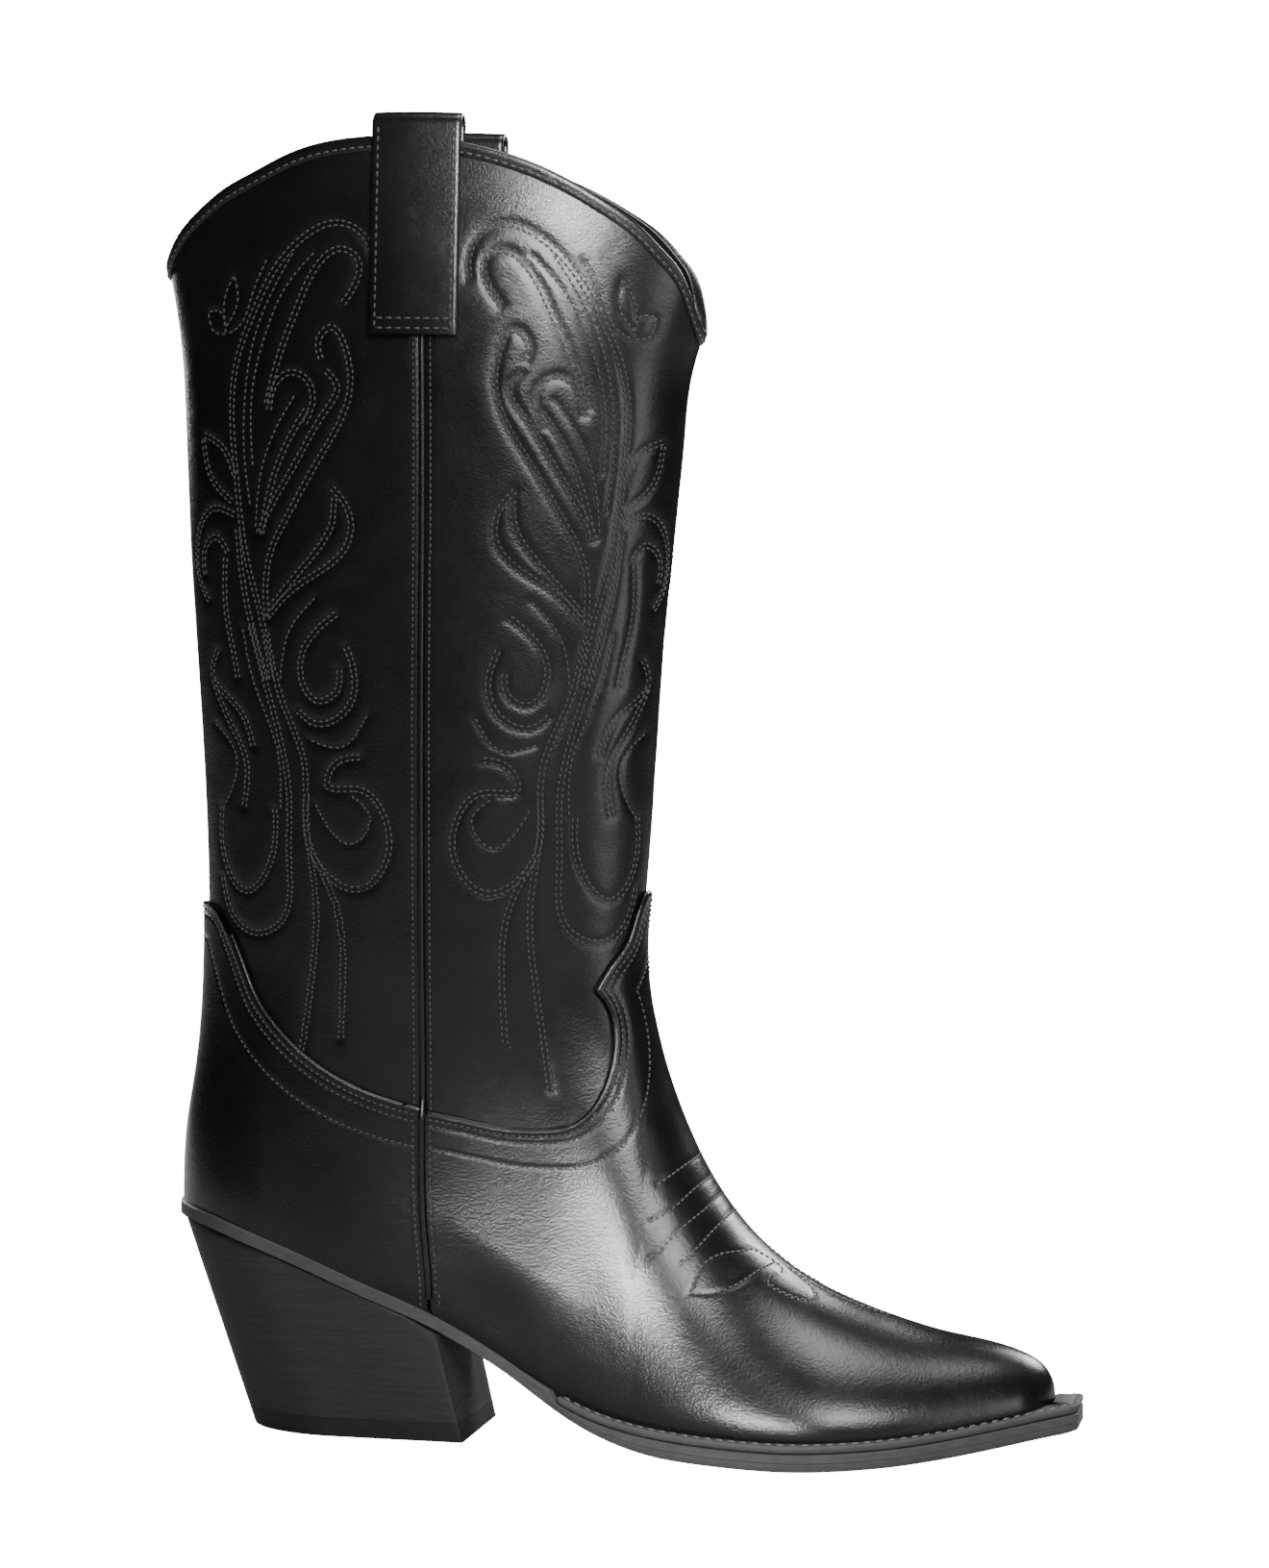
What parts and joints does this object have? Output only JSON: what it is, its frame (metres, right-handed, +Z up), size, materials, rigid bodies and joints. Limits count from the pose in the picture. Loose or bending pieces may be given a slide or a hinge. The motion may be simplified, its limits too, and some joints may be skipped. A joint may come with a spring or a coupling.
{
  "type": "cowboy boot",
  "caption": "Right-foot western boot with embroidered tall shaft, pull straps, welted snip-toe sole and underslung stacked heel.",
  "frame": {"origin": "on the floor, under the middle of the boot's bounding box", "axes": "+Z up along the shaft, +X towards the toe, +Y towards the inner (medial) side of a right foot"},
  "size_m": [0.2974, 0.0928, 0.4098],
  "materials": {
    "upper_leather": "smooth polished black leather, fine grain",
    "lining_leather": "matt black lining leather",
    "stiffener": "thermoplastic stiffener sheet",
    "fibre_board": "pressed fibre board",
    "cork_filler": "pressed cork",
    "steel": "bright steel",
    "sole_edge": "matt charcoal, fine brushed edge",
    "heel_stack": "matt charcoal stacked layers",
    "top_rubber": "matt black rubber"
  },
  "bodies": {
    "root": {"shaft_front_panel": "upper_leather", "shaft_back_panel": "upper_leather", "vamp": "upper_leather", "counter_cover": "upper_leather", "lateral_side_piping": "upper_leather", "medial_side_piping": "upper_leather", "top_binding_front": "upper_leather", "top_binding_back": "upper_leather", "lateral_pull_strap": "upper_leather", "medial_pull_strap": "upper_leather", "shaft_front_lining": "lining_leather", "shaft_back_lining": "lining_leather", "vamp_lining": "lining_leather", "heel_lining": "lining_leather", "sock_lining": "lining_leather", "heel_counter_stiffener": "stiffener", "toe_puff": "stiffener", "insole_board": "fibre_board", "steel_shank": "steel", "shank_rivet_1": "steel", "shank_rivet_2": "steel", "heel_nail_1": "steel", "heel_nail_2": "steel", "heel_nail_3": "steel", "heel_nail_4": "steel", "heel_nail_5": "steel", "forefoot_filler": "cork_filler", "welt": "sole_edge", "outsole": "sole_edge", "heel_top_piece": "top_rubber", "heel_lift_01": "heel_stack", "heel_lift_02": "heel_stack", "heel_lift_03": "heel_stack", "heel_lift_04": "heel_stack", "heel_lift_05": "heel_stack", "heel_lift_06": "heel_stack", "heel_lift_07": "heel_stack", "heel_lift_08": "heel_stack", "heel_lift_09": "heel_stack", "heel_lift_10": "heel_stack", "heel_lift_11": "heel_stack"}
  },
  "joints": []
}
